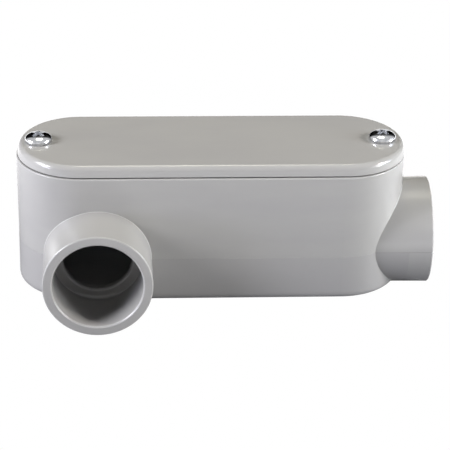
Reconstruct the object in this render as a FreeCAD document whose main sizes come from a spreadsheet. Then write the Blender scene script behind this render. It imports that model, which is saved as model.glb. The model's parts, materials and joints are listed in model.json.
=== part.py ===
import FreeCAD, Part
import math
import os
import Sketcher

# Conduit body for 1 inch rigid plastic conduit, right-hand corner type. All sizes in mm.
# Origin: centre of the trough's flat back. +Z goes out through the cover, +X out of the end
# hub and -Y out of the side hub.

V = FreeCAD.Vector
C = Sketcher.Constraint
UP = V(0, 0, 1)

doc = FreeCAD.newDocument("conduit_body")
sizes = doc.addObject("Spreadsheet::Sheet", "Sizes")

# Spreadsheet rows: alias, value or formula.
rows = [
    # trough
    ("body_length", "148.0"),
    ("body_width", "48.9"),
    ("body_height", "51.3"),
    ("wall", "3.2"),
    ("floor_thickness", "3.2"),
    ("wall_draft", "0.8"),
    ("parting_step", "0.05"),
    ("foot_radius", "2.0"),
    ("rim_bevel", "0.3"),
    ("cavity_length", "=body_length - 2 * wall"),
    ("cavity_width", "=body_width - 2 * wall"),
    ("end_centre", "=(body_length - body_width) / 2"),
    # sockets for the conduit, both hubs alike
    ("conduit_diameter", "33.4"),
    ("socket_clearance", "0.2"),
    ("socket_radius", "=conduit_diameter / 2 + socket_clearance"),
    ("socket_depth", "22.0"),
    ("socket_lead_in", "0.45"),
    ("throat_radius", "13.0"),
    ("throat_bevel", "0.6"),
    ("stop_thickness", "2.8"),
    ("hub_wall", "3.4"),
    ("hub_root_radius", "=socket_radius + hub_wall"),
    ("hub_flare", "0.5"),
    ("hub_bevel", "0.3"),
    ("hub_axis_height", "17.6"),
    ("end_hub_reach", "10.5"),
    ("end_hub_mouth", "=body_length / 2 + end_hub_reach"),
    ("end_hub_root", "=end_hub_mouth - socket_depth - stop_thickness"),
    ("side_hub_inset", "30.6"),
    ("side_hub_x", "=body_length / 2 - side_hub_inset"),
    ("side_hub_reach", "20.95"),
    ("side_hub_mouth", "=body_width / 2 + side_hub_reach"),
    ("side_hub_sink", "6.0"),
    ("side_hub_root", "=body_width / 2 - side_hub_sink"),
    ("throat_run_out", "0.5"),
    ("side_throat_end", "=side_hub_root - throat_run_out"),
    # trough below the mould parting line, which runs level through both hub axes
    ("upper_height", "=body_height - hub_axis_height"),
    ("upper_inset", "=upper_height * tan(wall_draft * 1 deg)"),
    ("foot_length", "=body_length - 2 * upper_inset + 2 * parting_step"),
    ("foot_width", "=body_width - 2 * upper_inset + 2 * parting_step"),
    ("bed_radius", "=cavity_width / 2 + wall / 2"),
    ("bed_base", "=floor_thickness / 2"),
    # screws, pan head, self-tapping into blind holes
    ("screw_inset", "8.6"),
    ("screw_spacing", "=body_length - 2 * screw_inset"),
    ("screw_x", "=screw_spacing / 2"),
    ("screw_diameter", "4.8"),
    ("screw_length", "16.0"),
    ("screw_tip", "2.0"),
    ("point_diameter", "1.6"),
    ("head_diameter", "10.3"),
    ("head_height", "3.1"),
    ("head_edge", "1.3"),
    ("head_shoulder", "2.4"),
    ("shoulder_diameter", "8.6"),
    ("crown_diameter", "5.6"),
    ("recess_span", "5.0"),
    ("recess_width", "1.5"),
    ("recess_depth", "2.0"),
    ("end_screw_turn", "20.0"),
    ("far_screw_turn", "10.0"),
    # screw bosses
    ("screw_hole_clearance", "0.05"),
    ("screw_hole_diameter", "=screw_diameter + 2 * screw_hole_clearance"),
    ("screw_hole_depth", "12.5"),
    ("boss_radius", "5.2"),
    ("boss_root", "=body_length / 2 - wall * 2 / 3"),
    ("end_boss_height", "=body_height - hub_axis_height - hub_root_radius + hub_wall / 2"),
    # gasket
    ("gasket_thickness", "0.45"),
    ("gasket_inset", "0.7"),
    ("gasket_overhang", "0.1"),
    ("gasket_length", "=cover_length - 2 * gasket_inset"),
    ("gasket_width", "=cover_width - 2 * gasket_inset"),
    # cover
    ("cover_end_setback", "0.3"),
    ("cover_side_setback", "0.5"),
    ("cover_length", "=body_length - 2 * cover_end_setback"),
    ("cover_width", "=body_width - 2 * cover_side_setback"),
    ("cover_thickness", "4.3"),
    ("cover_edge_radius", "2.0"),
    ("cover_bevel", "0.3"),
    ("cover_hole_clearance", "0.35"),
    ("cover_hole_diameter", "=screw_diameter + 2 * cover_hole_clearance"),
    ("cover_shift", "=cover_hole_clearance * 0.8"),
    ("cover_base", "=body_height + gasket_thickness"),
    ("cover_top", "=cover_base + cover_thickness"),
    ("cover_border", "6.0"),
    ("cover_recess_depth", "1.6"),
    ("cover_recess_length", "=screw_spacing - head_diameter - 2 * cover_bevel"),
    ("cover_recess_width", "=cover_width - 2 * cover_border"),
]
for line, (alias, value) in enumerate(rows, start=1):
    sizes.setAlias("B%d" % line, alias)
for line, (alias, value) in enumerate(rows, start=1):
    sizes.set("A%d" % line, alias)
    sizes.set("B%d" % line, value)
doc.recompute()


def number(alias):
    value = sizes.get(alias)
    return float(getattr(value, "Value", value))


def new_body(name):
    body = doc.addObject("PartDesign::Body", name)
    body.Label = name
    return body


def new_sketch(body, name, role, height=None):
    plane = [item for item in body.Origin.OriginFeatures if item.Role == role][0]
    sketch = body.newObject("Sketcher::SketchObject", name)
    sketch.AttachmentSupport = [(plane, "")]
    sketch.MapMode = "FlatFace"
    if height:
        sketch.setExpression("AttachmentOffset.Base.z", height)
    return sketch


# A driven size: the constraint is named and takes its value from the sheet.
def size(sketch, name, constraint, expression):
    sketch.renameConstraint(sketch.addConstraint(constraint), name)
    sketch.setExpression("Constraints." + name, expression)


# A racetrack outline centred on the sketch's origin.
def racetrack(sketch, length, width):
    radius = 20.0
    centre = 50.0
    left = Part.ArcOfCircle(Part.Circle(V(-centre, 0, 0), UP, radius), math.pi / 2, 3 * math.pi / 2)
    right = Part.ArcOfCircle(Part.Circle(V(centre, 0, 0), UP, radius), -math.pi / 2, math.pi / 2)
    low = Part.LineSegment(V(-centre, -radius, 0), V(centre, -radius, 0))
    high = Part.LineSegment(V(centre, radius, 0), V(-centre, radius, 0))
    a, b, c, d = sketch.addGeometry([left, right, low, high], False)
    sketch.addConstraint(C("Tangent", a, 2, c, 1))
    sketch.addConstraint(C("Tangent", c, 2, b, 1))
    sketch.addConstraint(C("Tangent", b, 2, d, 1))
    sketch.addConstraint(C("Tangent", d, 2, a, 1))
    sketch.addConstraint(C("PointOnObject", a, 3, -1))
    sketch.addConstraint(C("Symmetric", a, 3, b, 3, -1, 1))
    sketch.addConstraint(C("Equal", a, b))
    size(sketch, "end_radius", C("Radius", a, radius), "(%s) / 2" % width)
    size(sketch, "centres", C("DistanceX", a, 3, b, 3, 2 * centre), "(%s) - (%s)" % (length, width))


# A circle on the sketch's axes. side -1 puts it at negative x.
def circle(sketch, name, radius, x=None, y=None, side=1):
    start = V(40.0 * side if x else 0, 20.0 if y else 0, 0)
    ring = sketch.addGeometry(Part.Circle(start, UP, 10.0), False)
    size(sketch, name + "_radius", C("Radius", ring, 10.0), radius)
    if x and side > 0:
        size(sketch, name + "_x", C("DistanceX", -1, 1, ring, 3, 40.0), x)
    elif x:
        size(sketch, name + "_x", C("DistanceX", ring, 3, -1, 1, 40.0), x)
    else:
        sketch.addConstraint(C("PointOnObject", ring, 3, -2))
    if y:
        size(sketch, name + "_y", C("DistanceY", -1, 1, ring, 3, 20.0), y)
    else:
        sketch.addConstraint(C("PointOnObject", ring, 3, -1))


# The plan of a screw boss: a half-round nose facing the middle and a straight root at the wall.
def boss_plan(sketch, side, nose, centre, root):
    radius = 5.0
    middle = 60.0 * side
    end = 70.0 * side
    if side > 0:
        arc = Part.ArcOfCircle(Part.Circle(V(middle, 0, 0), UP, radius), math.pi / 2, 3 * math.pi / 2)
        first, last = radius, -radius
    else:
        arc = Part.ArcOfCircle(Part.Circle(V(middle, 0, 0), UP, radius), -math.pi / 2, math.pi / 2)
        first, last = -radius, radius
    out = Part.LineSegment(V(middle, last, 0), V(end, last, 0))
    back = Part.LineSegment(V(end, last, 0), V(end, first, 0))
    home = Part.LineSegment(V(end, first, 0), V(middle, first, 0))
    a, b, c, d = sketch.addGeometry([arc, out, back, home], False)
    sketch.addConstraint(C("Tangent", a, 2, b, 1))
    sketch.addConstraint(C("Coincident", b, 2, c, 1))
    sketch.addConstraint(C("Coincident", c, 2, d, 1))
    sketch.addConstraint(C("Tangent", d, 2, a, 1))
    sketch.addConstraint(C("Vertical", c))
    sketch.addConstraint(C("Horizontal", b))
    sketch.addConstraint(C("PointOnObject", a, 3, -1))
    size(sketch, "nose", C("Radius", a, radius), nose)
    if side > 0:
        size(sketch, "centre", C("DistanceX", -1, 1, a, 3, abs(middle)), centre)
        size(sketch, "root", C("DistanceX", -1, 1, c, 1, abs(end)), root)
    else:
        size(sketch, "centre", C("DistanceX", a, 3, -1, 1, abs(middle)), centre)
        size(sketch, "root", C("DistanceX", c, 1, -1, 1, abs(end)), root)


def pad(body, sketch, name, length, down=False, draft=None):
    feature = body.newObject("PartDesign::Pad", name)
    feature.Profile = sketch
    feature.Reversed = down
    feature.setExpression("Length", length)
    if draft:
        feature.setExpression("TaperAngle", draft)
    sketch.Visibility = False
    doc.recompute()
    return feature


def pocket(body, sketch, name, length, up=False, draft=None):
    feature = body.newObject("PartDesign::Pocket", name)
    feature.Profile = sketch
    feature.Reversed = up
    feature.setExpression("Length", length)
    if draft:
        feature.setExpression("TaperAngle", draft)
    sketch.Visibility = False
    doc.recompute()
    return feature


# Names of the edges of the last feature that lie wholly at one coordinate.
def edges_at(feature, axis, value, test=None):
    names = []
    for index, edge in enumerate(feature.Shape.Edges, start=1):
        box = edge.BoundBox
        low = getattr(box, axis + "Min")
        high = getattr(box, axis + "Max")
        level = abs(low - value) < 1e-4 and abs(high - value) < 1e-4
        if level and (test is None or test(edge)):
            names.append("Edge%d" % index)
    return names


def dress(body, kind, base, name, edges, amount):
    feature = body.newObject("PartDesign::" + kind, name)
    feature.Base = (base, edges)
    feature.setExpression("Radius" if kind == "Fillet" else "Size", amount)
    doc.recompute()
    return feature


def round_edge(radius):
    def test(edge):
        curve = edge.Curve
        return isinstance(curve, Part.Circle) and abs(curve.Radius - radius) < 1e-3
    return test


# Trough with its hubs: one moulding.
trough = new_body("body")

rim_outline = new_sketch(trough, "rim_outline", "XY_Plane", "Sizes.body_height")
racetrack(rim_outline, "Sizes.body_length", "Sizes.body_width")
upper_shell = pad(trough, rim_outline, "upper_shell", "Sizes.upper_height", True, "-Sizes.wall_draft")

foot_outline = new_sketch(trough, "foot_outline", "XY_Plane", "Sizes.hub_axis_height")
racetrack(foot_outline, "Sizes.foot_length", "Sizes.foot_width")
foot_shell = pad(trough, foot_outline, "foot_shell", "Sizes.hub_axis_height", True)
foot_edges = edges_at(foot_shell, "Z", 0.0)
foot_round = dress(trough, "Fillet", foot_shell, "foot_round", foot_edges, "Sizes.foot_radius")

rim_edges = edges_at(foot_round, "Z", number("body_height"))
rim_bevel = dress(trough, "Chamfer", foot_round, "rim_bevel_cut", rim_edges, "Sizes.rim_bevel")

side_hub_circle = new_sketch(trough, "side_hub_circle", "XZ_Plane", "Sizes.side_hub_root")
circle(side_hub_circle, "hub", "Sizes.hub_root_radius", "Sizes.side_hub_x", "Sizes.hub_axis_height", -1)
side_hub = pad(trough, side_hub_circle, "side_hub", "Sizes.side_hub_mouth - Sizes.side_hub_root",
               False, "Sizes.hub_flare")

cavity_outline = new_sketch(trough, "cavity_outline", "XY_Plane", "Sizes.body_height")
racetrack(cavity_outline, "Sizes.cavity_length", "Sizes.cavity_width")
cavity = pocket(trough, cavity_outline, "cavity", "Sizes.body_height - Sizes.floor_thickness",
                False, "-Sizes.wall_draft")

end_hub_circle = new_sketch(trough, "end_hub_circle", "YZ_Plane", "Sizes.end_hub_root")
circle(end_hub_circle, "hub", "Sizes.hub_root_radius", None, "Sizes.hub_axis_height")
end_hub = pad(trough, end_hub_circle, "end_hub", "Sizes.end_hub_mouth - Sizes.end_hub_root",
              False, "Sizes.hub_flare")

# The end socket's lower half is solid down to the floor, so the core can be drawn out upwards.
bed_plan = new_sketch(trough, "bed_plan", "XY_Plane", "Sizes.bed_base")
bed_arc = Part.ArcOfCircle(Part.Circle(V(50, 0, 0), UP, 22.0), -1.1, 1.1)
bed_reach = 22.0 * math.cos(1.1)
bed_rise = 22.0 * math.sin(1.1)
bed_chord = Part.LineSegment(V(50 + bed_reach, bed_rise, 0), V(50 + bed_reach, -bed_rise, 0))
bed_a, bed_b = bed_plan.addGeometry([bed_arc, bed_chord], False)
bed_plan.addConstraint(C("Coincident", bed_a, 2, bed_b, 1))
bed_plan.addConstraint(C("Coincident", bed_b, 2, bed_a, 1))
bed_plan.addConstraint(C("Vertical", bed_b))
bed_plan.addConstraint(C("PointOnObject", bed_a, 3, -1))
size(bed_plan, "centre", C("DistanceX", -1, 1, bed_a, 3, 50.0), "Sizes.end_centre")
size(bed_plan, "radius", C("Radius", bed_a, 22.0), "Sizes.bed_radius")
size(bed_plan, "chord", C("DistanceX", -1, 1, bed_b, 1, 50 + bed_reach), "Sizes.end_hub_root")
bed = pad(trough, bed_plan, "socket_bed", "Sizes.hub_axis_height - Sizes.bed_base")

# Screw bosses: one stands on the end socket, the other runs down to the floor.
end_boss_plan = new_sketch(trough, "end_boss_plan", "XY_Plane", "Sizes.body_height")
boss_plan(end_boss_plan, 1, "Sizes.boss_radius", "Sizes.screw_x", "Sizes.boss_root")
end_boss = pad(trough, end_boss_plan, "end_boss", "Sizes.end_boss_height", True)
far_boss_plan = new_sketch(trough, "far_boss_plan", "XY_Plane", "Sizes.body_height")
boss_plan(far_boss_plan, -1, "Sizes.boss_radius", "Sizes.screw_x", "Sizes.boss_root")
far_boss = pad(trough, far_boss_plan, "far_boss", "Sizes.body_height - Sizes.bed_base", True)

end_socket_circle = new_sketch(trough, "end_socket_circle", "YZ_Plane", "Sizes.end_hub_mouth")
circle(end_socket_circle, "socket", "Sizes.socket_radius", None, "Sizes.hub_axis_height")
end_socket = pocket(trough, end_socket_circle, "end_socket", "Sizes.socket_depth")
side_socket_circle = new_sketch(trough, "side_socket_circle", "XZ_Plane", "Sizes.side_hub_mouth")
circle(side_socket_circle, "socket", "Sizes.socket_radius", "Sizes.side_hub_x",
       "Sizes.hub_axis_height", -1)
side_socket = pocket(trough, side_socket_circle, "side_socket", "Sizes.socket_depth")

end_throat_circle = new_sketch(trough, "end_throat_circle", "YZ_Plane", "Sizes.end_hub_mouth")
circle(end_throat_circle, "throat", "Sizes.throat_radius", None, "Sizes.hub_axis_height")
end_throat = pocket(trough, end_throat_circle, "end_throat",
                    "Sizes.socket_depth + Sizes.stop_thickness")
side_throat_circle = new_sketch(trough, "side_throat_circle", "XZ_Plane", "Sizes.side_hub_mouth")
circle(side_throat_circle, "throat", "Sizes.throat_radius", "Sizes.side_hub_x",
       "Sizes.hub_axis_height", -1)
side_throat = pocket(trough, side_throat_circle, "side_throat",
                     "Sizes.side_hub_mouth - Sizes.side_throat_end")

hole_centres = new_sketch(trough, "hole_centres", "XY_Plane", "Sizes.body_height")
circle(hole_centres, "end", "Sizes.screw_hole_diameter / 2", "Sizes.screw_x")
circle(hole_centres, "far", "Sizes.screw_hole_diameter / 2", "Sizes.screw_x", None, -1)
doc.recompute()
screw_holes = trough.newObject("PartDesign::Hole", "screw_holes")
screw_holes.Profile = hole_centres
screw_holes.DepthType = "Dimension"
screw_holes.setExpression("Diameter", "Sizes.screw_hole_diameter")
screw_holes.setExpression("Depth", "Sizes.screw_hole_depth")
hole_centres.Visibility = False
doc.recompute()

# Bevels: the lead-in at both mouths, the edges of both throats and the rims of both hubs.
end_mouth = number("end_hub_mouth")
side_mouth = -number("side_hub_mouth")
is_socket = round_edge(number("socket_radius"))
mouths = edges_at(screw_holes, "X", end_mouth, is_socket) + edges_at(screw_holes, "Y", side_mouth, is_socket)
lead_in = dress(trough, "Chamfer", screw_holes, "lead_in", mouths, "Sizes.socket_lead_in")

is_throat = round_edge(number("throat_radius"))
end_stop = end_mouth - number("socket_depth")
side_stop = side_mouth + number("socket_depth")
stops = edges_at(lead_in, "X", end_stop, is_throat) + edges_at(lead_in, "Y", side_stop, is_throat)
stop_bevel = dress(trough, "Chamfer", lead_in, "stop_bevel", stops, "Sizes.throat_bevel")


def hub_rim(edge):
    return isinstance(edge.Curve, Part.Circle) and edge.Curve.Radius > number("hub_root_radius")


rims = edges_at(stop_bevel, "X", end_mouth, hub_rim) + edges_at(stop_bevel, "Y", side_mouth, hub_rim)
hub_edge = dress(trough, "Chamfer", stop_bevel, "hub_edge", rims, "Sizes.hub_bevel")
trough.Tip = hub_edge

# Gasket: a flat ring on the rim with an eye over each screw boss.
gasket = new_body("gasket")
gasket.setExpression("Placement.Base.z", "Sizes.body_height")
gasket_outline = new_sketch(gasket, "gasket_outline", "XY_Plane")
racetrack(gasket_outline, "Sizes.gasket_length", "Sizes.gasket_width")
gasket_sheet = pad(gasket, gasket_outline, "gasket_sheet", "Sizes.gasket_thickness")
gasket_window = new_sketch(gasket, "gasket_window", "XY_Plane")
racetrack(gasket_window, "Sizes.cavity_length - 2 * Sizes.gasket_overhang",
          "Sizes.cavity_width - 2 * Sizes.gasket_overhang")
gasket_ring = pocket(gasket, gasket_window, "gasket_ring", "Sizes.gasket_thickness", True)
eye_plan = new_sketch(gasket, "eye_plan", "XY_Plane")
boss_plan(eye_plan, 1, "Sizes.boss_radius", "Sizes.screw_x", "Sizes.boss_root")
eye = pad(gasket, eye_plan, "eye", "Sizes.gasket_thickness")
far_eye = gasket.newObject("PartDesign::Mirrored", "far_eye")
far_eye.Originals = [eye]
far_eye.MirrorPlane = ([item for item in gasket.Origin.OriginFeatures if item.Role == "YZ_Plane"][0], [""])
gasket.Tip = far_eye
doc.recompute()
eye_holes = new_sketch(gasket, "eye_holes", "XY_Plane")
circle(eye_holes, "end", "Sizes.cover_hole_diameter / 2", "Sizes.screw_x")
circle(eye_holes, "far", "Sizes.cover_hole_diameter / 2", "Sizes.screw_x", None, -1)
gasket_holes = pocket(gasket, eye_holes, "gasket_holes", "Sizes.gasket_thickness", True)
gasket.Tip = gasket_holes

# Cover: a plate with a rounded top edge, hollowed underneath between the screws. It lies to one
# side by part of the play in its screw holes.
cover = new_body("cover")
cover.setExpression("Placement.Base.x", "Sizes.cover_shift")
cover.setExpression("Placement.Base.z", "Sizes.cover_base")
cover_outline = new_sketch(cover, "cover_outline", "XY_Plane")
racetrack(cover_outline, "Sizes.cover_length", "Sizes.cover_width")
cover_plate = pad(cover, cover_outline, "cover_plate", "Sizes.cover_thickness")
top_edges = edges_at(cover_plate, "Z", number("cover_thickness"))
cover_round = dress(cover, "Fillet", cover_plate, "cover_round", top_edges, "Sizes.cover_edge_radius")
low_edges = edges_at(cover_round, "Z", 0.0)
cover_bevel = dress(cover, "Chamfer", cover_round, "cover_bevel_cut", low_edges, "Sizes.cover_bevel")
recess_outline = new_sketch(cover, "recess_outline", "XY_Plane")
racetrack(recess_outline, "Sizes.cover_recess_length", "Sizes.cover_recess_width")
cover_recess = pocket(cover, recess_outline, "cover_recess", "Sizes.cover_recess_depth", True)
cover_hole_centres = new_sketch(cover, "cover_hole_centres", "XY_Plane")
circle(cover_hole_centres, "end", "Sizes.cover_hole_diameter / 2", "Sizes.screw_x")
circle(cover_hole_centres, "far", "Sizes.cover_hole_diameter / 2", "Sizes.screw_x", None, -1)
cover_holes = pocket(cover, cover_hole_centres, "cover_holes", "Sizes.cover_thickness", True)
cover.Tip = cover_holes


# A pan-head screw standing on its underhead plane, with a cross recess in the head.
def add_screw(name, side, turn):
    screw = new_body(name)
    screw.setExpression("Placement.Base.x", "%d * Sizes.screw_x" % side)
    screw.setExpression("Placement.Base.z", "Sizes.cover_top")
    screw.Placement.Rotation = FreeCAD.Rotation(UP, number(turn))
    half = [
        ("top", 0, "head_height"),
        ("point", 0, "-screw_length"),
        ("tip", "point_diameter", "-screw_length"),
        ("taper", "screw_diameter", "screw_tip - screw_length"),
        ("neck", "screw_diameter", 0),
        ("rim", "head_diameter", 0),
        ("edge", "head_diameter", "head_edge"),
        ("shoulder", "shoulder_diameter", "head_shoulder"),
        ("crown", "crown_diameter", "head_height"),
    ]
    profile = new_sketch(screw, name + "_profile", "XZ_Plane")
    corners = [V(*half_point(across, up)) for label, across, up in half]
    ring = corners + corners[:1]
    sides = [Part.LineSegment(a, b) for a, b in zip(ring, ring[1:])]
    lines = profile.addGeometry(sides, False)
    for index, (label, across, up) in enumerate(half):
        profile.addConstraint(C("Coincident", lines[index - 1], 2, lines[index], 1))
        point = corners[index]
        if across:
            size(profile, label + "_x", C("DistanceX", -1, 1, lines[index], 1, point.x),
                 "Sizes.%s / 2" % across)
        else:
            profile.addConstraint(C("PointOnObject", lines[index], 1, -2))
        if point.y > 0:
            size(profile, label + "_y", C("DistanceY", -1, 1, lines[index], 1, point.y), tied(up, 1))
        elif point.y < 0:
            size(profile, label + "_y", C("DistanceY", lines[index], 1, -1, 1, -point.y), tied(up, -1))
        else:
            profile.addConstraint(C("PointOnObject", lines[index], 1, -1))
    blank = screw.newObject("PartDesign::Revolution", name + "_blank")
    blank.Profile = profile
    blank.ReferenceAxis = (profile, ["V_Axis"])
    blank.Angle = 360
    profile.Visibility = False
    doc.recompute()
    cross = new_sketch(screw, name + "_cross", "XY_Plane", "Sizes.head_height")
    cross_plan(cross)
    recess = pocket(screw, cross, name + "_recess", "Sizes.recess_depth")
    screw.Tip = recess
    return screw


# A sum of sheet names, such as "screw_tip - screw_length", as signed names.
def terms(words):
    text = str(words).replace("- ", "-")
    return [(-1, name[1:]) if name.startswith("-") else (1, name) for name in text.split()]


def half_point(across, up):
    x = number(across) / 2 if across else 0
    y = sum(sign * number(name) for sign, name in terms(up)) if up else 0
    return x, y, 0


# The same sum as an expression on the sheet, times a sign.
def tied(words, sign):
    return " + ".join("%d * Sizes.%s" % (sign * part, name) for part, name in terms(words))


# A plus sign: recess_span across and recess_width wide, held square and symmetric.
def cross_plan(sketch):
    span = number("recess_span") / 2
    width = number("recess_width") / 2
    corners = [
        (span, width), (width, width), (width, span), (-width, span), (-width, width), (-span, width),
        (-span, -width), (-width, -width), (-width, -span), (width, -span), (width, -width), (span, -width),
    ]
    ring = corners + corners[:1]
    sides = [Part.LineSegment(V(a[0], a[1], 0), V(b[0], b[1], 0)) for a, b in zip(ring, ring[1:])]
    lines = sketch.addGeometry(sides, False)
    for index, line in enumerate(lines):
        after = lines[(index + 1) % len(lines)]
        sketch.addConstraint(C("Coincident", line, 2, after, 1))
        level = abs(corners[index][1] - ring[index + 1][1]) < 1e-9
        sketch.addConstraint(C("Horizontal" if level else "Vertical", line))
    for index in (0, 2, 4):
        sketch.addConstraint(C("Symmetric", lines[index], 1, lines[index + 6], 1, -1, 1))
    size(sketch, "span_x", C("DistanceX", -1, 1, lines[0], 1, span), "Sizes.recess_span / 2")
    size(sketch, "width_y", C("DistanceY", -1, 1, lines[0], 1, width), "Sizes.recess_width / 2")
    size(sketch, "width_x", C("DistanceX", -1, 1, lines[1], 1, width), "Sizes.recess_width / 2")
    size(sketch, "span_y", C("DistanceY", -1, 1, lines[2], 1, span), "Sizes.recess_span / 2")
    size(sketch, "back_x", C("DistanceX", lines[3], 1, -1, 1, width), "Sizes.recess_width / 2")
    size(sketch, "back_y", C("DistanceY", -1, 1, lines[4], 1, width), "Sizes.recess_width / 2")


end_screw = add_screw("end_screw", 1, "end_screw_turn")
far_screw = add_screw("far_screw", -1, "far_screw_turn")
doc.recompute()

faults = [item.Name for item in doc.Objects if "Invalid" in item.State or "Error" in item.State]
if faults:
    raise RuntimeError("features in error: " + ", ".join(faults))
os.makedirs("parts", exist_ok=True)
for node in (trough, gasket, cover, end_screw, far_screw):
    solid = node.Shape
    if solid.isNull() or not solid.isValid() or len(solid.Solids) != 1:
        raise RuntimeError("%s is not one valid solid" % node.Label)
    solid.exportStep("parts/%s.step" % node.Label)
    print(node.Label, "volume", round(solid.Volume, 1), "box", solid.BoundBox)
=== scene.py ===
import bpy
import bmesh
import json
import math
from mathutils import Matrix, Vector


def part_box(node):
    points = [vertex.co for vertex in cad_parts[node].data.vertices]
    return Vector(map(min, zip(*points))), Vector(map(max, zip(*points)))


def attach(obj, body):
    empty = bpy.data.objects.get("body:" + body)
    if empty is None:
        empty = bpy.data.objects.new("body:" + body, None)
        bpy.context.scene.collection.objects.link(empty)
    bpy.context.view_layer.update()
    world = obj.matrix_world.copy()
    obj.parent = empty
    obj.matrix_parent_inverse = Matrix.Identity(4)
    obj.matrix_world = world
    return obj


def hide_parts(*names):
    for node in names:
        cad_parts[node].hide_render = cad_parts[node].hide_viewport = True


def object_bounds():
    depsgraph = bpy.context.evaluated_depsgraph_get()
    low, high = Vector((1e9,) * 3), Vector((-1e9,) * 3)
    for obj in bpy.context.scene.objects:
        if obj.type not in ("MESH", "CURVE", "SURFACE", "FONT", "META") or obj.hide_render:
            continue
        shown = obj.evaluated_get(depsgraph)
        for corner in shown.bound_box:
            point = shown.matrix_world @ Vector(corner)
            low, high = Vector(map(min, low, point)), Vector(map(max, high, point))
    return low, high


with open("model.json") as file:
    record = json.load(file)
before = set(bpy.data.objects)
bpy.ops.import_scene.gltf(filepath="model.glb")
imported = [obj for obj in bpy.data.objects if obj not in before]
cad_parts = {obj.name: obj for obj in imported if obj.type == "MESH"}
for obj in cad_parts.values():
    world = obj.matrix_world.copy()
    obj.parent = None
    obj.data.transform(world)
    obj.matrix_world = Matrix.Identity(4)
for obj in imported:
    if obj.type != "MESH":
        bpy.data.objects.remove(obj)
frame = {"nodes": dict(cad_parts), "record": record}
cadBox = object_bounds()
mounts = {mount["name"]: mount["pos_m"] for mount in frame["record"]["mounts"]}
mm = 0.001
print("frame loaded")


# An sRGB hex colour as the linear values that nodes and lamps take.
def linear(hexColour):
    values = [int(hexColour[start:start + 2], 16) / 255 for start in (1, 3, 5)]
    bent = [value / 12.92 if value <= 0.04045 else ((value + 0.055) / 1.055) ** 2.4 for value in values]
    return (*bent, 1.0)


# Adds a node with its settings and links. With take, it hands back that output and not the node.
# A Mix node blends numbers from inputs 2 and 3 to output 0, vectors from 4 and 5 to 1, colours from
# 6 and 7 to 2.
def addNode(tree, kind, inputs=None, take=None, **settings):
    node = tree.nodes.new(kind)
    for key, value in settings.items():
        setattr(node, key, value)
    for key, value in (inputs or {}).items():
        if isinstance(value, bpy.types.NodeSocket):
            tree.links.new(value, node.inputs[key])
        else:
            node.inputs[key].default_value = value
    return node if take is None else node.outputs[take]


def newMaterial(name, inputs):
    material = bpy.data.materials.new(name)
    material.use_nodes = True
    tree = material.node_tree
    tree.nodes.clear()
    shader = addNode(tree, "ShaderNodeBsdfPrincipled", inputs)
    addNode(tree, "ShaderNodeOutputMaterial", {"Surface": shader.outputs["BSDF"]})
    return material, tree, shader


def newObject(name, mesh):
    piece = bpy.data.objects.new(name, mesh)
    bpy.context.scene.collection.objects.link(piece)
    return piece


def smooth(mesh, sharpAngle=32):
    mesh.polygons.foreach_set("use_smooth", [True] * len(mesh.polygons))
    mesh.set_sharp_from_angle(angle=math.radians(sharpAngle))
    return mesh


def meshFrom(name, build, sharpAngle=32):
    shape = bmesh.new()
    build(shape)
    bmesh.ops.recalc_face_normals(shape, faces=shape.faces)
    mesh = bpy.data.meshes.new(name)
    shape.to_mesh(mesh)
    shape.free()
    return smooth(mesh, sharpAngle)


def cutAway(target, *cutters):
    for cutter in cutters:
        step = target.modifiers.new("cut", "BOOLEAN")
        step.operation = "DIFFERENCE"
        step.solver = "EXACT"
        step.object = cutter
    seen = target.evaluated_get(bpy.context.evaluated_depsgraph_get())
    cut = bpy.data.meshes.new_from_object(seen)
    target.modifiers.clear()
    target.data = smooth(cut)
    for cutter in cutters:
        bpy.data.objects.remove(cutter)


# A CAD node keeps its mesh and gets its finish in its own slots.
def dress(nodeName, material):
    for slot in frame["nodes"][nodeName].material_slots:
        slot.link = "OBJECT"
        slot.material = material


# Rigid PVC, injection moulded in a polished tool: semi-gloss and faintly streaked along the flow, with a
# painted highlight in a pale colour on its sharp edges. The trough also shows the witness line where its two
# mould halves met, and below it the wall is painted a little darker, a painted shade.
pvcLook = {
    "colour": "#a5a4a1",
    "shade": "#a1a09e",
    "lowerPaintedShade": "#9b9a99",
    "lowerPaintedShadeShare": 0.6,
    "lowerPaintedShadeFade": (0.1 * mm, -0.3 * mm),  # heights from the witness line
    "edgeHighlight": "#cfcecb",
    "edgeHighlightShare": 0.85,
    "edgeHighlightFade": (0.93, 0.997),  # how nearly the rounded and the flat normal agree
    "troughRoughness": 0.26,
    "coverRoughness": 0.2,
    "ior": 1.53,
    "mottleSize": 12 * mm,
    "mottleFade": (0.35, 0.75),
    "flowStretch": (0.25, 0.5, 1.0),
    "grainSize": 0.35 * mm,  # a tool's polish is finer, and this is as coarse as it has to be to show
    "grainDepth": 0.02 * mm,
    "grainStrength": 0.12,
    "edgeRound": 0.35 * mm,
    "footRound": 2.6 * mm,
    "footReach": 3.64 * mm,
    "wallFade": (1.5 * mm, 1.4 * mm),  # out from the cover's edge
    "lineWidth": 0.3 * mm,
    "lineColour": "#848482",
    "lineShare": 0.5,
    "lineFade": (0.3 * mm, 0.6 * mm),  # in from the side hub's mouth
}


# The part of the trough between its hubs, as a factor.
def wallShare(tree, spot):
    low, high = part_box("cover")
    start, end = pvcLook["wallFade"]
    behind = addNode(tree, "ShaderNodeMapRange",
                     {"Value": spot.outputs["Y"], "From Min": low.y - start, "From Max": low.y - end},
                     "Result", interpolation_type="SMOOTHSTEP")
    inside = addNode(tree, "ShaderNodeMapRange",
                     {"Value": spot.outputs["X"], "From Min": high.x + start, "From Max": high.x + end},
                     "Result", interpolation_type="SMOOTHSTEP")
    return addNode(tree, "ShaderNodeMath", {0: behind, 1: inside}, 0, operation="MULTIPLY")


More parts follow.
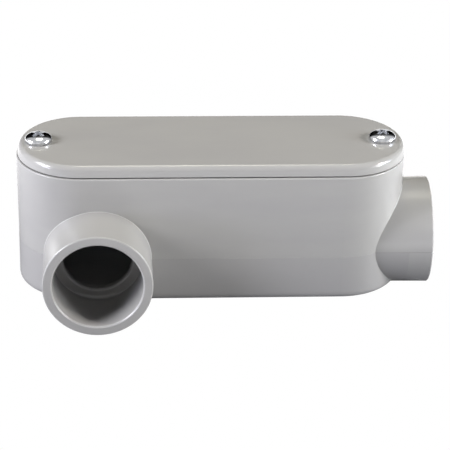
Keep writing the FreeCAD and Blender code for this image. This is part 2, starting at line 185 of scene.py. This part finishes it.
# The foot of the trough's wall turns under in a wider round than its other edges.
def footNormal(tree, spot, wall, rounded):
    look = pvcLook
    near = addNode(tree, "ShaderNodeMapRange",
                   {"Value": spot.outputs["Z"], "From Min": look["footReach"], "From Max": look["footRound"]},
                   "Result", interpolation_type="SMOOTHSTEP")
    foot = addNode(tree, "ShaderNodeMath", {0: wall, 1: near}, 0, operation="MULTIPLY")
    wide = addNode(tree, "ShaderNodeBevel", {"Radius": look["footRound"]}, "Normal", samples=16)
    return addNode(tree, "ShaderNodeMix", {0: foot, 4: rounded, 5: wide}, 1, data_type="VECTOR")


# The painted shade on the lower half, and over it the witness line, which stops at the side hub's mouth.
def partingLineAndPaintedShade(tree, spot, wall, height, colour):
    look = pvcLook
    offset = addNode(tree, "ShaderNodeMath", {0: spot.outputs["Z"], 1: height}, 0, operation="SUBTRACT")
    # Painted shade: below the witness line the wall is mixed towards a darker grey.
    start, end = look["lowerPaintedShadeFade"]
    lower = addNode(tree, "ShaderNodeMapRange",
                    {"Value": offset, "From Min": start, "From Max": end, "To Max": look["lowerPaintedShadeShare"]},
                    "Result", interpolation_type="SMOOTHSTEP")
    below = addNode(tree, "ShaderNodeMath", {0: lower, 1: wall}, 0, operation="MULTIPLY")
    halves = addNode(tree, "ShaderNodeMix", {0: below, 6: colour, 7: linear(look["lowerPaintedShade"])}, 2,
                     data_type="RGBA")
    away = addNode(tree, "ShaderNodeMath", {0: offset}, 0, operation="ABSOLUTE")
    line = addNode(tree, "ShaderNodeMapRange",
                   {"Value": away, "From Max": look["lineWidth"], "To Min": look["lineShare"], "To Max": 0.0},
                   "Result", interpolation_type="SMOOTHSTEP")
    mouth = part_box("body")[0].y
    start, end = look["lineFade"]
    sides = addNode(tree, "ShaderNodeMapRange",
                    {"Value": spot.outputs["Y"], "From Min": mouth + start, "From Max": mouth + end},
                    "Result", interpolation_type="SMOOTHSTEP")
    drawn = addNode(tree, "ShaderNodeMath", {0: line, 1: sides}, 0, operation="MULTIPLY")
    return addNode(tree, "ShaderNodeMix", {0: drawn, 6: halves, 7: linear(look["lineColour"])}, 2,
                   data_type="RGBA")


def makePvc(name, roughness, partingHeight=None):
    look = pvcLook
    material, tree, shader = newMaterial(name, {"IOR": look["ior"], "Roughness": roughness})
    place = addNode(tree, "ShaderNodeTexCoord", take="Object")
    flow = addNode(tree, "ShaderNodeVectorMath", {0: place, 1: look["flowStretch"]}, 0, operation="MULTIPLY")
    streaks = addNode(tree, "ShaderNodeTexNoise",
                      {"Vector": flow, "Scale": 1 / look["mottleSize"], "Detail": 3.0, "Roughness": 0.5}, "Fac")
    start, end = look["mottleFade"]
    mottle = addNode(tree, "ShaderNodeMapRange", {"Value": streaks, "From Min": start, "From Max": end},
                     "Result", interpolation_type="SMOOTHSTEP")
    mottled = addNode(tree, "ShaderNodeMix",
                      {0: mottle, 6: linear(look["colour"]), 7: linear(look["shade"])}, 2, data_type="RGBA")
    rounded = addNode(tree, "ShaderNodeBevel", {"Radius": look["edgeRound"]}, "Normal", samples=8)
    flat = addNode(tree, "ShaderNodeNewGeometry", take="Normal")
    agreement = addNode(tree, "ShaderNodeVectorMath", {0: rounded, 1: flat}, "Value", operation="DOT_PRODUCT")
    # Painted highlight: the edges are mixed towards a pale colour where the rounded normal parts from the flat
    # one.
    start, end = look["edgeHighlightFade"]
    onEdge = addNode(tree, "ShaderNodeMapRange",
                     {"Value": agreement, "From Min": start, "From Max": end,
                      "To Min": look["edgeHighlightShare"], "To Max": 0.0},
                     "Result", interpolation_type="SMOOTHSTEP")
    colour = addNode(tree, "ShaderNodeMix", {0: onEdge, 6: mottled, 7: linear(look["edgeHighlight"])}, 2,
                     data_type="RGBA")
    normal = rounded
    if partingHeight is not None:
        spot = addNode(tree, "ShaderNodeSeparateXYZ", {"Vector": place})
        wall = wallShare(tree, spot)
        normal = footNormal(tree, spot, wall, rounded)
        colour = partingLineAndPaintedShade(tree, spot, wall, partingHeight, colour)
    grain = addNode(tree, "ShaderNodeTexNoise",
                    {"Vector": place, "Scale": 1 / look["grainSize"], "Detail": 2.0}, "Fac")
    bump = addNode(tree, "ShaderNodeBump",
                   {"Strength": look["grainStrength"], "Distance": look["grainDepth"], "Height": grain,
                    "Normal": normal}, "Normal")
    tree.links.new(colour, shader.inputs["Base Color"])
    tree.links.new(bump, shader.inputs["Normal"])
    return material


dress("body", makePvc("mouldedPvcTrough", pvcLook["troughRoughness"], mounts["side_socket"][2]))
print("trough finished")


# Closed-cell foam, die cut from sheet: matt black with fine open pores on the cut edges.
foamLook = {
    "poreColour": "#0e0e0f",
    "skinColour": "#242425",
    "roughness": 0.9,
    "poreSize": 0.3 * mm,
    "poreDepth": 0.1 * mm,
    "poreStrength": 0.6,
    "poreFade": (0.1, 0.6),
}


def makeFoam():
    look = foamLook
    material, tree, shader = newMaterial("dieCutFoam", {"Roughness": look["roughness"]})
    place = addNode(tree, "ShaderNodeTexCoord", take="Object")
    cells = addNode(tree, "ShaderNodeTexVoronoi", {"Vector": place, "Scale": 1 / look["poreSize"]}, "Distance")
    start, end = look["poreFade"]
    pore = addNode(tree, "ShaderNodeMapRange", {"Value": cells, "From Min": start, "From Max": end},
                   "Result", interpolation_type="SMOOTHSTEP")
    colour = addNode(tree, "ShaderNodeMix",
                     {0: pore, 6: linear(look["poreColour"]), 7: linear(look["skinColour"])}, 2,
                     data_type="RGBA")
    bump = addNode(tree, "ShaderNodeBump",
                   {"Strength": look["poreStrength"], "Distance": look["poreDepth"], "Height": pore}, "Normal")
    tree.links.new(colour, shader.inputs["Base Color"])
    tree.links.new(bump, shader.inputs["Normal"])
    return material


dress("gasket", makeFoam())
print("gasket finished")


# A flat plate with round ends, a smoothly rolled upper edge, a crisp lower one and a hollow underside.
coverLook = {
    "upperRound": 2.0 * mm,
    "roundFullness": 1.2,  # 1 is a quarter circle, and more is flatter across its middle
    "topMargin": 2.4 * mm,
    "sideDraft": 0.14 * mm,
    "lowerRound": 0.06 * mm,
    "hollowLength": 119.9 * mm,
    "hollowWidth": 35.9 * mm,
    "hollowDepth": 1.6 * mm,
    "holeRadius": 2.75 * mm,
    "holeSpacing": 130.8 * mm,
    "holeSegments": 64,
    "drillDepth": 4,  # in plate thicknesses
    "endSteps": 64,
    "roundSteps": 24,
    "mergeDistance": 0.001 * mm,
}


# Spins a profile of radii and heights round both ends of the plate, and carries it straight along the
# sides between them.
def sweepTrack(shape, points, run):
    look = coverLook
    verts = [shape.verts.new((run, -radius, height)) for radius, height in points]
    profile = verts + [shape.edges.new(pair) for pair in zip(verts, verts[1:])]
    for side in (1, -1):
        turned = bmesh.ops.spin(shape, geom=profile, cent=(side * run, 0, 0), axis=(0, 0, 1), angle=math.pi,
                                steps=look["endSteps"])
        along = bmesh.ops.spin(shape, geom=turned["geom_last"], axis=(0, 0, 1), dvec=(-2 * side * run, 0, 0),
                               angle=0, steps=1)
        profile = along["geom_last"]
    bmesh.ops.remove_doubles(shape, verts=shape.verts, dist=look["mergeDistance"])


# Extrudes a closed loop of edges, and hands back the new loop and its verts, still in the old place.
def extrudeLoop(shape, edges):
    made = bmesh.ops.extrude_edge_only(shape, edges=edges)["geom"]
    loop = [part for part in made if isinstance(part, bmesh.types.BMEdge) and part.is_boundary]
    return loop, [part for part in made if isinstance(part, bmesh.types.BMVert)]


# The edge is swept from the underside to the flat top. Then the lower rim is drawn in to the hollow's
# mouth, the hollow's wall goes up from there, and its roof and the top are closed.
def buildCover(shape, length, width, thickness):
    look = coverLook
    chamfer, rolled = look["lowerRound"], look["upperRound"]
    draft, fullness = look["sideDraft"], look["roundFullness"]
    steps = [(chamfer, 0), (0, chamfer), (draft, thickness - rolled)]
    for step in range(1, look["roundSteps"] + 1):
        angle = math.pi / 2 * step / look["roundSteps"]
        across, up = max(math.cos(angle), 0) ** fullness, math.sin(angle) ** fullness
        steps.append((draft + (rolled - draft) * (1 - across), thickness - rolled * (1 - up)))
    steps.append((look["topMargin"], thickness))
    run = (length - width) / 2
    sweepTrack(shape, [(width / 2 - inset, height) for inset, height in steps], run)
    rim = [edge for edge in shape.edges if edge.is_boundary and edge.verts[0].co.z < thickness / 2]
    mouth, mouthVerts = extrudeLoop(shape, rim)
    hollow = look["hollowWidth"] / 2
    shrink, shift = hollow / (width / 2 - chamfer), look["hollowLength"] / 2 - hollow - run
    for side in (1, -1):
        end = [vert for vert in mouthVerts if vert.co.x * side > 0]
        bmesh.ops.scale(shape, verts=end, vec=(shrink, shrink, 1), space=Matrix.Translation((-side * run, 0, 0)))
        bmesh.ops.translate(shape, verts=end, vec=(side * shift, 0, 0))
    roofVerts = extrudeLoop(shape, mouth)[1]
    bmesh.ops.translate(shape, verts=roofVerts, vec=(0, 0, look["hollowDepth"]))
    bmesh.ops.holes_fill(shape, edges=shape.edges)


def buildDrill(shape, across, depth):
    look = coverLook
    bmesh.ops.create_cone(shape, cap_ends=True, segments=look["holeSegments"], depth=depth,
                          radius1=look["holeRadius"], radius2=look["holeRadius"])
    bmesh.ops.translate(shape, verts=shape.verts, vec=(across, 0, 0))


def makeCover(material):
    low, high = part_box("cover")
    size = high - low
    cover = newObject("coverPlate", meshFrom("coverPlate", lambda shape: buildCover(shape, *size)))
    drills = []
    for side in (1, -1):
        across, depth = side * coverLook["holeSpacing"] / 2, coverLook["drillDepth"] * size.z
        drills.append(newObject("drill", meshFrom("drill", lambda shape: buildDrill(shape, across, depth))))
    cutAway(cover, *drills)
    cover.data.transform(Matrix.Translation(((low.x + high.x) / 2, (low.y + high.y) / 2, low.z)))
    cover.data.materials.clear()
    cover.data.materials.append(material)
    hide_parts("cover")
    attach(cover, "root")


makeCover(makePvc("mouldedPvcCover", pvcLook["coverRoughness"]))
print("cover made")


# A torn flake of flash where the parting line meets the end hub's mouth, whitened by the tear.
flashLook = {
    "colour": "#f2f1ee",
    "roughness": 0.45,
    "size": (1.1 * mm, 0.6 * mm, 0.8 * mm),
    "inset": 0.2 * mm,
    "drop": 0.3 * mm,
    "sharpAngle": 60,
}


def buildFlash(shape):
    look = flashLook
    low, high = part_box("body")
    axisY, axisZ = mounts["end_socket"][1:]
    hubRadius = axisZ - low.z
    bmesh.ops.create_icosphere(shape, subdivisions=2, radius=0.5)  # one across, before it takes its size
    bmesh.ops.scale(shape, verts=shape.verts, vec=look["size"])
    bmesh.ops.translate(shape, verts=shape.verts,
                        vec=(high.x, axisY - hubRadius + look["inset"], axisZ - look["drop"]))


def makeFlash():
    look = flashLook
    material = newMaterial("tornPvcFlash",
                           {"Base Color": linear(look["colour"]), "Roughness": look["roughness"]})[0]
    flash = newObject("mouldFlash", meshFrom("mouldFlash", buildFlash, look["sharpAngle"]))
    flash.data.materials.append(material)
    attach(flash, "root")


makeFlash()
print("flash made")


# A pan head on a pointed, thread-forming shank. The head's size and place come from the CAD node.
screwLook = {
    "turn": 45,
    "edgeHeight": 1.0 * mm,
    "edgeLift": 0.06 * mm,
    "edgeTuck": 0.35 * mm,
    "edgeRound": 0.1 * mm,
    "edgeSteps": 8,
    "domeSteps": 16,
    "headSegments": 96,
    "recessSpan": 5.6 * mm,
    "recessWidth": 1.6 * mm,
    "recessDepth": 2.0 * mm,
    "recessFloorSpan": 2.3 * mm,
    "recessFloorWidth": 0.8 * mm,
    "recessTip": 0.35 * mm,
    "cutterSpan": 7.0 * mm,
    "cutterWidth": 1.76 * mm,
    "cutterRise": 1.0 * mm,
    "shankRadius": 1.85 * mm,
    "shankTop": 0.1 * mm,
    "shankSegments": 48,
    "crestRadius": 2.4 * mm,
    "crestWidth": 0.18 * mm,
    "crestLift": 0.1 * mm,
    "rootSink": 0.08 * mm,
    "pointRadius": 0.8 * mm,
    "pointLength": 2.0 * mm,
    "pitch": 1.4 * mm,
    "flankShare": 0.38,  # half the ridge's foot, in pitches
    "neckLength": 1.2 * mm,
    "threadStop": 0.5 * mm,
    "threadSteps": 40,
    "fadeTurns": 0.5,
    "leastCrest": 0.02,
    "zinc": "#e4e5e8",
    "zincCloud": "#c3c5ca",
    "roughness": (0.10, 0.24),
    "bloomSize": 1.6 * mm,
    "bloomFade": (0.35, 0.7),
    "pitSize": 0.25 * mm,
    "pitDepth": 0.02 * mm,
    "pitStrength": 0.25,
}


# Cold-headed steel with bright zinc plating: mirror-like, under a fine crystalline bloom that dulls it
# in patches.
def makeZinc():
    look = screwLook
    material, tree, shader = newMaterial("brightZincPlatedSteel", {"Metallic": 1.0})
    place = addNode(tree, "ShaderNodeTexCoord", take="Object")
    bloom = addNode(tree, "ShaderNodeTexNoise",
                    {"Vector": place, "Scale": 1 / look["bloomSize"], "Detail": 5.0, "Roughness": 0.65}, "Fac")
    start, end = look["bloomFade"]
    clouded = addNode(tree, "ShaderNodeMapRange", {"Value": bloom, "From Min": start, "From Max": end},
                      "Result", interpolation_type="SMOOTHSTEP")
    colour = addNode(tree, "ShaderNodeMix",
                     {0: clouded, 6: linear(look["zinc"]), 7: linear(look["zincCloud"])}, 2, data_type="RGBA")
    bright, dull = look["roughness"]
    roughness = addNode(tree, "ShaderNodeMapRange", {"Value": clouded, "To Min": bright, "To Max": dull}, "Result")
    pits = addNode(tree, "ShaderNodeTexNoise",
                   {"Vector": place, "Scale": 1 / look["pitSize"], "Detail": 3.0}, "Fac")
    bump = addNode(tree, "ShaderNodeBump",
                   {"Strength": look["pitStrength"], "Distance": look["pitDepth"], "Height": pits}, "Normal")
    tree.links.new(colour, shader.inputs["Base Color"])
    tree.links.new(roughness, shader.inputs["Roughness"])
    tree.links.new(bump, shader.inputs["Normal"])
    return material


def headProfile(radius, height):
    look = screwLook
    edge, tuck, lift = look["edgeHeight"], look["edgeTuck"], look["edgeLift"]
    points = [(0, 0), (radius - tuck - look["edgeRound"], 0)]
    for step in range(look["edgeSteps"] + 1):
        angle = math.pi / 2 * step / look["edgeSteps"]
        points.append((radius - tuck * (1 - math.sin(angle)), lift + edge * (1 - math.cos(angle))))
    for step in range(1, look["domeSteps"]):
        angle = math.pi / 2 * step / look["domeSteps"]
        points.append((radius * math.cos(angle), edge + lift + (height - edge - lift) * math.sin(angle)))
    return points + [(0, height)]


def revolve(shape, points, segments):
    verts = [shape.verts.new((radius, 0, height)) for radius, height in points]
    edges = [shape.edges.new(pair) for pair in zip(verts, verts[1:])]
    bmesh.ops.spin(shape, geom=verts + edges, cent=(0, 0, 0), axis=(0, 0, 1), angle=2 * math.pi, steps=segments,
                   use_merge=True)
    bmesh.ops.remove_doubles(shape, verts=shape.verts, dist=1e-7)  # closes the poles


def crossLoop(shape, span, width, height):
    long, short = span / 2, width / 2
    corners = []
    for turn in range(4):
        quarter = Matrix.Rotation(turn * math.pi / 2, 3, "Z")
        for across, along in ((long, -short), (long, short), (short, short)):
            corners.append(shape.verts.new(quarter @ Vector((across, along, height))))
    return [shape.edges.new(pair) for pair in zip(corners, corners[1:] + corners[:1])]


# The cutter for the cross recess, which narrows to its floor and ends in a shallow tip.
def buildRecess(shape, top):
    look = screwLook
    floor = crossLoop(shape, look["recessFloorSpan"], look["recessFloorWidth"], top - look["recessDepth"])
    mouth = crossLoop(shape, look["recessSpan"], look["recessWidth"], top)
    above = crossLoop(shape, look["cutterSpan"], look["cutterWidth"], top + look["cutterRise"])
    for low, high in ((floor, mouth), (mouth, above)):
        bmesh.ops.bridge_loops(shape, edges=low + high)
    bmesh.ops.holes_fill(shape, edges=shape.edges)
    lowest = min(shape.faces, key=lambda face: face.calc_center_median().z)
    tip = bmesh.ops.poke(shape, faces=[lowest])["verts"]
    bmesh.ops.translate(shape, verts=tip, vec=(0, 0, -look["recessTip"]))


def buildShank(shape, length):
    look = screwLook
    top, radius = look["shankTop"], look["shankRadius"]
    revolve(shape, [(0, top), (radius, top), (radius, look["pointLength"] - length),
                    (look["pointRadius"], -length), (0, -length)], look["shankSegments"])


# A ridge spun round the shank with a drop at each step. Then its sections are drawn in towards the axis
# along the point, and its crest also where the thread starts and ends.
def buildThread(shape, length):
    look = screwLook
    steps, pitch, neck = look["threadSteps"], look["pitch"], look["neckLength"]
    total = int((length - neck - look["threadStop"]) / pitch * steps)
    root = look["shankRadius"] - look["rootSink"]
    ridge = look["crestRadius"] - look["shankRadius"]
    crest = root + look["crestLift"] + ridge
    foot, tip = pitch * look["flankShare"], look["crestWidth"] / 2
    section = [(root, -foot), (crest, -tip), (crest, tip), (root, foot)]
    verts = [shape.verts.new((radius, 0, height - neck)) for radius, height in section]
    edges = [shape.edges.new(pair) for pair in zip(verts, verts[1:] + verts[:1])]
    bmesh.ops.spin(shape, geom=verts + edges, cent=(0, 0, 0), axis=(0, 0, 1), dvec=(0, 0, -pitch / steps),
                   angle=2 * math.pi * total / steps, steps=total)
    bmesh.ops.holes_fill(shape, edges=shape.edges)
    for index, vert in enumerate(shape.verts):
        step = index // len(section)
        past = max(neck + pitch * step / steps - (length - look["pointLength"]), 0)
        drawn = (look["shankRadius"] - look["pointRadius"]) * past / look["pointLength"]
        outwards = Vector((vert.co.x, vert.co.y, 0))
        if outwards.length > look["shankRadius"]:
            fade = min(1, step / (look["fadeTurns"] * steps), (total - step) / (look["fadeTurns"] * steps))
            drawn += ridge * (1 - max(fade, look["leastCrest"]))
        vert.co -= outwards.normalized() * drawn


def makeScrew(nodeName, pieceName, material):
    look = screwLook
    low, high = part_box(nodeName)
    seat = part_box("cover")[1].z
    profile = headProfile((high.x - low.x) / 2, high.z - seat)
    screw = newObject(pieceName, meshFrom(pieceName, lambda shape: revolve(shape, profile, look["headSegments"])))
    cutAway(screw, newObject("cutter", meshFrom("cutter", lambda shape: buildRecess(shape, high.z - seat))))
    whole = bmesh.new()
    whole.from_mesh(screw.data)
    for build in (buildShank, buildThread):
        whole.from_mesh(meshFrom("part", lambda shape: build(shape, seat - low.z)))
    whole.to_mesh(screw.data)
    whole.free()
    smooth(screw.data)
    centre = Matrix.Translation(((low.x + high.x) / 2, (low.y + high.y) / 2, seat))
    screw.data.transform(centre @ Matrix.Rotation(math.radians(look["turn"]), 4, "Z"))
    screw.data.materials.clear()
    screw.data.materials.append(material)
    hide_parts(nodeName)
    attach(screw, "root")


zinc = makeZinc()
makeScrew("end_screw", "endScrewPlated", zinc)
makeScrew("far_screw", "farScrewPlated", zinc)
print("screws made")


# The floor is white to the camera and glows brighter than white in reflections, except in a painted shadow
# beside the trough. All other light meets a darker sweep, painted darker still in that shadow.
floorLook = {
    "reach": 1.5,  # metres
    "gap": 0.05 * mm,
    "roughness": 0.8,
    "shadowColour": "#7c7c80",
    "openColour": "#a8a8ac",
    "shadowWidth": 140 * mm,
    "shine": 1.9,
}


def buildFloor(shape):
    bmesh.ops.create_grid(shape, x_segments=1, y_segments=1, size=floorLook["reach"])
    bmesh.ops.translate(shape, verts=shape.verts, vec=(0, 0, cadBox[0].z - floorLook["gap"]))


def makeFloor():
    look = floorLook
    floor = newObject("floor", meshFrom("floor", buildFloor))
    material, tree, shader = newMaterial("paleStudioSweep", {"Roughness": look["roughness"]})
    place = addNode(tree, "ShaderNodeTexCoord", take="Object")
    folded = addNode(tree, "ShaderNodeVectorMath", {0: place}, 0, operation="ABSOLUTE")
    edge = addNode(tree, "ShaderNodeVectorMath", {0: folded, 1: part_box("body")[1]}, 0, operation="SUBTRACT")
    side = addNode(tree, "ShaderNodeSeparateXYZ", {"Vector": edge})
    away = addNode(tree, "ShaderNodeMath", {0: side.outputs["X"], 1: side.outputs["Y"]}, 0, operation="MAXIMUM")
    # Painted shadow: near the trough the floor's colour darkens and its glow in reflections fades.
    lit = addNode(tree, "ShaderNodeMapRange", {"Value": away, "From Min": 0.0, "From Max": look["shadowWidth"]},
                  "Result", interpolation_type="SMOOTHSTEP")
    colour = addNode(tree, "ShaderNodeMix",
                     {0: lit, 6: linear(look["shadowColour"]), 7: linear(look["openColour"])}, 2,
                     data_type="RGBA")
    tree.links.new(colour, shader.inputs["Base Color"])
    path = addNode(tree, "ShaderNodeLightPath")
    camera = path.outputs["Is Camera Ray"]
    mirrored = addNode(tree, "ShaderNodeMath", {0: lit, 1: path.outputs["Is Glossy Ray"]}, 0, operation="MULTIPLY")
    shown = addNode(tree, "ShaderNodeMath", {0: mirrored, 1: camera}, 0, operation="MAXIMUM")
    strength = addNode(tree, "ShaderNodeMix", {0: camera, 2: look["shine"], 3: 1.0}, 0)
    white = addNode(tree, "ShaderNodeEmission", {"Strength": strength}, 0)
    mixed = addNode(tree, "ShaderNodeMixShader", {0: shown, 1: shader.outputs[0], 2: white}, 0)
    output = next(node for node in tree.nodes if node.type == "OUTPUT_MATERIAL")
    tree.links.new(mixed, output.inputs["Surface"])
    floor.data.materials.append(material)


# The room is white to the camera. Reflections see a tent that is bright in front and dark behind.
tentLook = {
    "fill": 0.01,
    "front": 0.7,
    "frontFade": (0.45, 0.7),
}


def makeWorld():
    look = tentLook
    world = bpy.data.worlds.new("studio")
    world.use_nodes = True
    tree = world.node_tree
    tree.nodes.clear()
    path = addNode(tree, "ShaderNodeLightPath")
    direction = addNode(tree, "ShaderNodeTexCoord", take="Generated")
    backward = addNode(tree, "ShaderNodeSeparateXYZ", {"Vector": direction}, "Y")
    start, end = look["frontFade"]
    shine = addNode(tree, "ShaderNodeMapRange",
                    {"Value": backward, "From Min": start, "From Max": end,
                     "To Min": look["front"], "To Max": 0.0},
                    "Result", interpolation_type="SMOOTHSTEP")
    reflected = addNode(tree, "ShaderNodeMix", {0: path.outputs["Is Glossy Ray"], 2: look["fill"], 3: shine}, 0)
    strength = addNode(tree, "ShaderNodeMix", {0: path.outputs["Is Camera Ray"], 2: reflected, 3: 1.0}, 0)
    white = addNode(tree, "ShaderNodeBackground", {"Color": (1, 1, 1, 1), "Strength": strength}, 0)
    addNode(tree, "ShaderNodeOutputWorld", {"Surface": white})
    bpy.context.scene.world = world


# Azimuth is 0 in front and 90 to the object's right. Distances and sides are in metres, powers in watts.
softboxes = [
    {"name": "leftMain", "azimuth": -76, "elevation": 28, "distance": 1.2, "side": 0.4, "power": 17.8,
     "colour": "#fafaff"},
    {"name": "leftSkim", "azimuth": -64, "elevation": 5, "distance": 1.2, "side": 0.3, "power": 5.7,
     "colour": "#e6e9ff"},
    {"name": "rightMain", "azimuth": 76, "elevation": 28, "distance": 1.2, "side": 0.2, "power": 8.6,
     "colour": "#fff5f0"},
    {"name": "rightFront", "azimuth": 61, "elevation": 18, "distance": 1.2, "side": 0.2, "power": 1.2,
     "colour": "#f3f1ff"},
    {"name": "rightSkim", "azimuth": 64, "elevation": 5, "distance": 1.2, "side": 0.2, "power": 5.6,
     "colour": "#fbfffc"},
    {"name": "rightNear", "azimuth": 80, "elevation": 20, "distance": 0.45, "side": 0.15, "power": 0.9,
     "colour": "#e0eeff"},
    {"name": "overhead", "azimuth": 180, "elevation": 77, "distance": 1.2, "side": 0.38, "power": 3.6,
     "colour": "#fffce6"},
    {"name": "behind", "azimuth": 180, "elevation": 35, "distance": 1.2, "side": 0.4, "power": 2.0,
     "colour": "#fffbf0", "mirrored": False},
]


def directionTo(azimuth, elevation):
    around, up = math.radians(azimuth), math.radians(elevation)
    return Vector((math.sin(around) * math.cos(up), -math.cos(around) * math.cos(up), math.sin(up)))


def addSoftbox(name, azimuth, elevation, distance, side, power, colour, mirrored=True):
    light = bpy.data.lights.new(name, "AREA")
    light.size = side
    light.energy = power
    light.color = linear(colour)[:3]
    lamp = bpy.data.objects.new(name, light)
    lamp.visible_glossy = mirrored
    bpy.context.scene.collection.objects.link(lamp)
    back = directionTo(azimuth, elevation)
    lamp.location = back * distance
    lamp.rotation_euler = back.to_track_quat("Z", "Y").to_euler()


# A long lens a little above the front and a few degrees to the left.
cameraLook = {
    "target": Vector((5.957, 0, 19.678)) * mm,
    "distance": 836.34 * mm,
    "azimuth": -3.633,
    "elevation": 26.986,
    "roll": 1.202,
    "lens": 172.5,
    "sensorWidth": 36,
    "clipStart": 0.01,  # metres
}


def makeCamera():
    look = cameraLook
    around, roll = math.radians(look["azimuth"]), math.radians(look["roll"])
    back = directionTo(look["azimuth"], look["elevation"])
    right = Vector((math.cos(around), math.sin(around), 0))
    top = back.cross(right)
    across = right * math.cos(roll) + top * math.sin(roll)
    upward = top * math.cos(roll) - right * math.sin(roll)
    camera = bpy.data.objects.new("camera", bpy.data.cameras.new("camera"))
    camera.data.lens = look["lens"]
    camera.data.sensor_width = look["sensorWidth"]
    camera.data.clip_start = look["clipStart"]
    turned = Matrix((across, upward, back)).transposed().to_4x4()
    camera.matrix_world = Matrix.Translation(look["target"] + back * look["distance"]) @ turned
    bpy.context.scene.collection.objects.link(camera)
    bpy.context.scene.camera = camera


makeFloor()
makeWorld()
for softbox in softboxes:
    addSoftbox(**softbox)
makeCamera()
bpy.context.scene.view_settings.view_transform = "Standard"
print("stage made")
